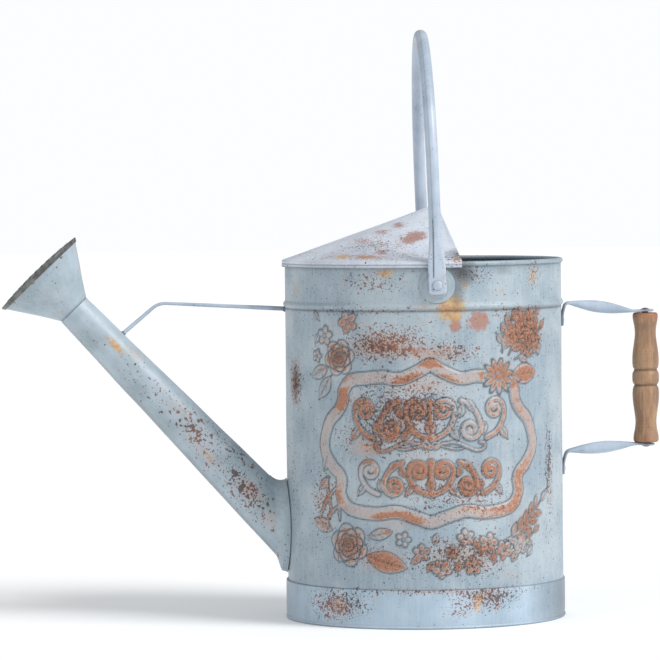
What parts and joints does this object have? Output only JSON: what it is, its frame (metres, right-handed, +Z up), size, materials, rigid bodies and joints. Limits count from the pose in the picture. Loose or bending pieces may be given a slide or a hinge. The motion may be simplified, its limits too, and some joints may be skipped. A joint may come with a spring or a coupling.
{
  "type": "watering can",
  "caption": "Round sheet-steel watering can with a half hood, a swinging bail over its mouth, a long tapered spout with a perforated rose, and a turned wooden rear grip.",
  "frame": {"origin": "centre of the round base, on the plane that the can stands on", "axes": "+Z up, -X towards the spout and its rose, +X towards the wooden rear grip, -Y out of the decorated front"},
  "size_m": [0.5246, 0.24, 0.468],
  "materials": {
    "blue_grey_paint": "pale blue-grey paint, worn and speckled with rust",
    "lilac_white_paint": "thin lilac-white paint brushed over brown primer",
    "handle_paint": "satin blue-grey paint",
    "dark_steel": "darkened, lightly rusted steel",
    "galvanised_steel": "dull grey galvanised steel",
    "bare_wire": "plain drawn wire",
    "solder": "dull soft solder, painted over",
    "turned_wood": "oiled hardwood, darkened in the grooves"
  },
  "bodies": {
    "can": {"body_shell": "blue_grey_paint", "base_band": "blue_grey_paint", "spout_tube": "blue_grey_paint", "spout_collar": "blue_grey_paint", "rose_cone": "blue_grey_paint", "rose_face": "dark_steel", "hood": "lilac_white_paint", "upper_bracket": "handle_paint", "lower_bracket": "handle_paint", "spout_brace": "handle_paint", "bail_ears": "blue_grey_paint", "bail_rivets": "handle_paint", "bracket_rivets": "handle_paint", "brace_solder": "solder", "rim_wire": "bare_wire", "base_wire": "bare_wire", "bottom_pan": "galvanised_steel", "bail_burrs": "galvanised_steel", "grip_rod": "dark_steel"},
    "bail": {"bail": "handle_paint"},
    "grip": {"grip": "turned_wood"}
  },
  "joints": [
    {"name": "bail_swing", "type": "hinge", "parent": "can", "child": "bail", "pos_m": [0.0063, 0, 0.26735], "axis": [0, 1, 0], "range_deg": [-90, 105]},
    {"name": "grip_spin", "type": "hinge", "parent": "can", "child": "grip", "pos_m": [0.1777, 0, 0.1887], "axis": [0, 0, 1], "continuous": true}
  ]
}
